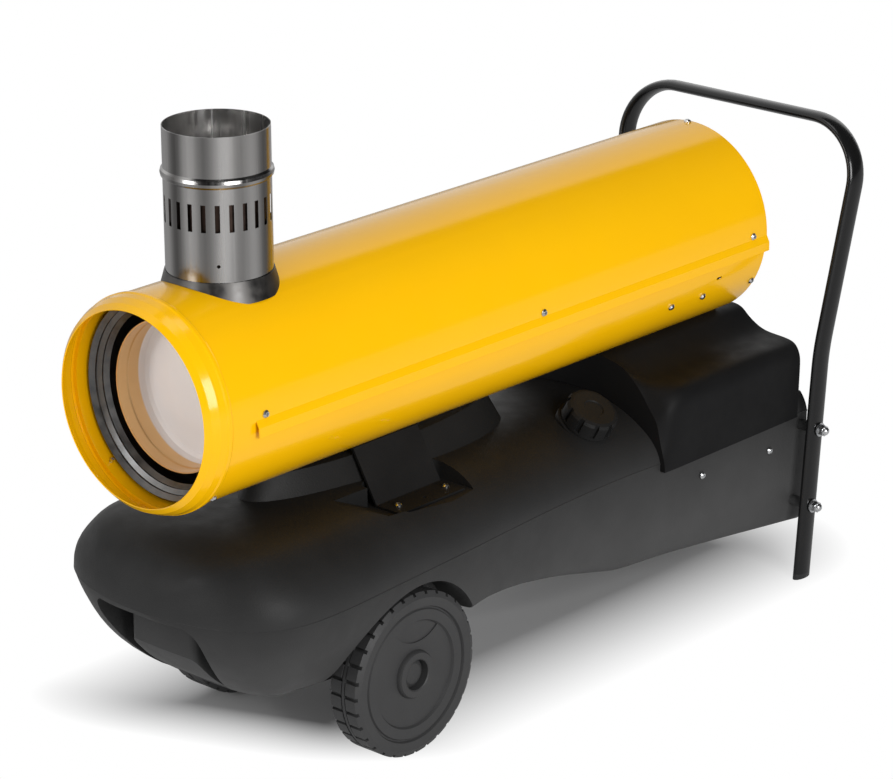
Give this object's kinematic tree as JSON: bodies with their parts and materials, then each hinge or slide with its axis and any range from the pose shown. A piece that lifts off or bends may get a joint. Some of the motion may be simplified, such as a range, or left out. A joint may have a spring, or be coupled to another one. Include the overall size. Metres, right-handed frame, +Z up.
{
  "type": "indirect fired space heater",
  "caption": "Wheeled oil-fired space heater: round sheet-steel casing with flue pipe and warm air outlet, on a moulded fuel tank with wheels and a bent tube handle.",
  "frame": {"origin": "on the floor under the middle of the overall box", "axes": "+X to the heater's filler side, -Y towards the warm air outlet, +Z up"},
  "size_m": [0.385, 1.1654, 0.758],
  "materials": {
    "yellow_paint": "gloss",
    "stainless": "satin",
    "galvanised": "satin",
    "exchanger_steel": "matt",
    "tank_plastic": "fine texture",
    "black_paint": "satin",
    "zinc": "bright",
    "black_plastic": "gloss",
    "red_plastic": "gloss",
    "fan_metal": "satin",
    "motor_paint": "satin",
    "brass": "bright",
    "copper_pipe": "bright",
    "ceramic": "glazed",
    "clear_plastic": "gloss",
    "rubber": "matt"
  },
  "bodies": {
    "chassis": {"axle": "zinc", "axle_caps": "black_plastic", "axle_straps": "black_paint", "axle_washers": "zinc", "burner_tube": "exchanger_steel", "cable_gland": "black_plastic", "casing_screws": "zinc", "chamber_supports": "galvanised", "combustion_chamber": "exchanger_steel", "control_box": "black_plastic", "drain_plug": "zinc", "drum_rear_plate": "galvanised", "drum_supports": "galvanised", "exchanger_drum": "exchanger_steel", "filler_neck": "tank_plastic", "filler_strainer": "black_plastic", "flame_disc": "exchanger_steel", "flame_sensor": "zinc", "flue_collar": "galvanised", "flue_pipe": "stainless", "foot_plugs": "black_plastic", "front_support_left": "black_paint", "front_support_right": "black_paint", "fuel_filter": "clear_plastic", "fuel_pump": "fan_metal", "fuel_tank": "tank_plastic", "handle": "black_paint", "handle_bolts": "zinc", "handle_nuts": "zinc", "handle_washers": "zinc", "ignition_electrodes": "ceramic", "ignition_transformer": "black_plastic", "inner_liner": "galvanised", "liner_spacers": "galvanised", "lower_shell": "yellow_paint", "motor": "motor_paint", "motor_bracket": "galvanised", "nozzle_holder": "brass", "nozzle_pipe": "copper_pipe", "outlet_cone": "galvanised", "outlet_ring": "yellow_paint", "rear_cover": "tank_plastic", "rear_grille": "black_paint", "reset_bezel": "black_plastic", "solenoid_valve": "fan_metal", "spray_nozzle": "brass", "suction_hose": "rubber", "support_screws": "zinc", "switch_bezel": "black_plastic", "tank_screws": "zinc", "thermostat_socket": "black_plastic", "upper_shell": "yellow_paint"},
    "wheel_right": {"wheel_right": "tank_plastic"},
    "wheel_left": {"wheel_left": "tank_plastic"},
    "fan_rotor": {"fan": "fan_metal", "motor_shaft": "zinc"},
    "cap_lift": {"cap_gasket": "rubber"},
    "cap": {"fuel_cap": "tank_plastic"},
    "power_switch": {"power_switch": "black_plastic"},
    "reset_button": {"reset_button": "red_plastic"}
  },
  "joints": [
    {"name": "wheel_right_spin", "type": "hinge", "parent": "chassis", "child": "wheel_right", "pos_m": [0.136, -0.292, 0.1], "axis": [1, 0, 0], "continuous": true},
    {"name": "wheel_left_spin", "type": "hinge", "parent": "chassis", "child": "wheel_left", "pos_m": [-0.136, -0.292, 0.1], "axis": [1, 0, 0], "continuous": true},
    {"name": "fan_spin", "type": "hinge", "parent": "chassis", "child": "fan_rotor", "pos_m": [0, 0.352, 0.463], "axis": [0, 1, 0], "continuous": true},
    {"name": "cap_lift_off", "type": "slide", "parent": "chassis", "child": "cap_lift", "axis": [0.515, 0, 0.8572], "range_m": [0, 0.06]},
    {"name": "cap_unscrew", "type": "hinge", "parent": "cap_lift", "child": "cap", "pos_m": [0.083, 0.096, 0.284], "axis": [0.515, 0, 0.8572], "range_deg": [0, 540]},
    {"name": "power_switch_rock", "type": "hinge", "parent": "chassis", "child": "power_switch", "pos_m": [-0.1, 0.434, 0.296], "axis": [0, 0, -1], "range_deg": [0, 14]},
    {"name": "reset_press", "type": "slide", "parent": "chassis", "child": "reset_button", "axis": [0, -1, 0], "range_m": [0, 0.003], "stiffness_N_per_m": 400}
  ]
}
